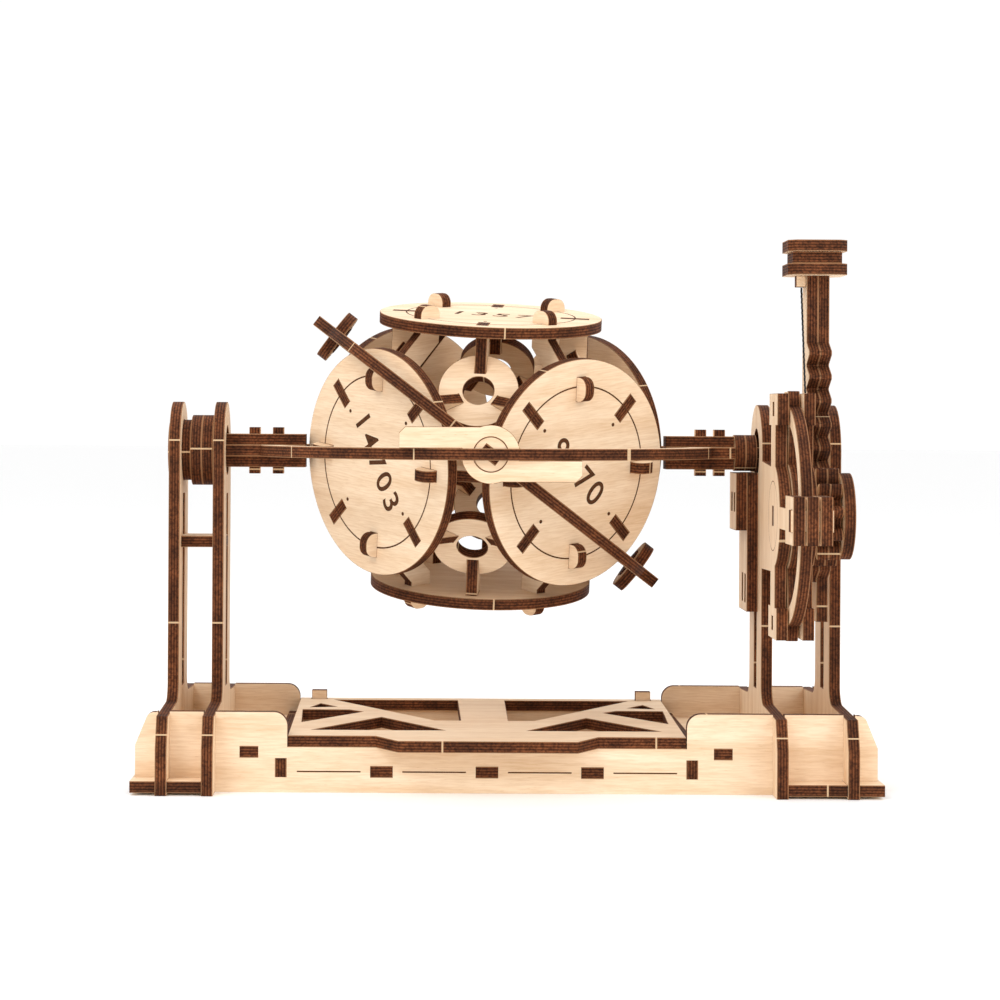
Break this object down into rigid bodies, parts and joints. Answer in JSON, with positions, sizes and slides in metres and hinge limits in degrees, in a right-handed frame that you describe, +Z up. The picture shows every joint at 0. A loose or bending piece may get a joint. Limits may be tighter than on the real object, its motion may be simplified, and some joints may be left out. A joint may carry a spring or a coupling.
{
  "type": "hand-pressed answer tumbler",
  "caption": "Plywood desk toy: a ball of flat discs turns in two gimbal rings on a slotted stand, spun by a push-down toothed bar and gears.",
  "frame": {"origin": "centre of the footprint on the table", "axes": "+X along the axle of the outer ring, towards the press; +Y to the back; +Z up"},
  "size_m": [0.193, 0.1358, 0.1443],
  "materials": {
    "plywood": "satin",
    "thread": "matte"
  },
  "bodies": {
    "frame": {"front_panel": "plywood", "rear_panel": "plywood", "left_floor_plate": "plywood", "right_floor_plate": "plywood", "middle_floor_plate": "plywood", "left_deck": "plywood", "right_deck": "plywood", "left_rib": "plywood", "right_rib": "plywood", "lattice_plate": "plywood", "lattice_pegs": "plywood", "left_outer_post": "plywood", "left_inner_post": "plywood", "right_outer_post": "plywood", "right_inner_post": "plywood", "outer_cheek": "plywood", "front_tie": "plywood", "front_spacer": "plywood", "post_spacer": "plywood", "post_stiffeners": "plywood"},
    "press_rack": {"rack": "plywood", "knob_lower_plate": "plywood", "knob_middle_plate": "plywood", "knob_upper_plate": "plywood", "knob_tab": "plywood", "return_elastic": "thread"},
    "gear_shaft": {"sector_wheel": "plywood", "rack_pinion": "plywood", "layshaft_bushes": "plywood", "end_disc": "plywood", "layshaft": "plywood"},
    "outer_ring": {"outer_ring_plate": "plywood", "left_upper_strip": "plywood", "left_lower_strip": "plywood", "right_upper_strip": "plywood", "right_lower_strip": "plywood", "axle_keys": "plywood", "left_drum": "plywood", "left_journal": "plywood", "right_collar": "plywood", "right_journal": "plywood", "front_hub_plate": "plywood", "rear_hub_plate": "plywood", "ring_pinion": "plywood"},
    "inner_ring": {"inner_ring_plate": "plywood", "hub_discs": "plywood", "lower_pole_plate": "plywood", "upper_pole_plate": "plywood"},
    "ball": {"face_disc_1": "plywood", "face_disc_2": "plywood", "face_disc_3": "plywood", "face_disc_4": "plywood", "face_disc_5": "plywood", "face_disc_6": "plywood", "edge_connectors": "plywood", "corner_rings": "plywood", "corner_tabs": "plywood", "lower_pivot": "plywood", "upper_pivot": "plywood"}
  },
  "joints": [
    {"name": "ring_spin", "type": "hinge", "parent": "frame", "child": "outer_ring", "pos_m": [-0.005, 0.0066, 0.0878], "axis": [1, 0, 0], "range_deg": [0, 524]},
    {"name": "wheel_spin", "type": "hinge", "parent": "frame", "child": "gear_shaft", "pos_m": [0.0737, -0.02906, 0.072], "axis": [1, 0, 0], "range_deg": [-135.5, 0]},
    {"name": "press", "type": "slide", "parent": "frame", "child": "press_rack", "axis": [0, 0, -1], "range_m": [0, 0.026], "stiffness_N_per_m": 20, "springref_m": -0.02, "deforming": ["return_elastic"]},
    {"name": "inner_ring_swing", "type": "hinge", "parent": "outer_ring", "child": "inner_ring", "pos_m": [-0.005, 0.0066, 0.0878], "axis": [0, 1, 0], "range_deg": [-18, 103]},
    {"name": "ball_spin", "type": "hinge", "parent": "inner_ring", "child": "ball", "pos_m": [-0.005, 0.0066, 0.0878], "axis": [0.7934, 0, -0.6088], "continuous": true}
  ],
  "couplings": [
    {"joint": "wheel_spin", "follows": "ring_spin", "ratio": -0.25806},
    {"joint": "press", "follows": "ring_spin", "m_per_rad": 0.0028387}
  ]
}
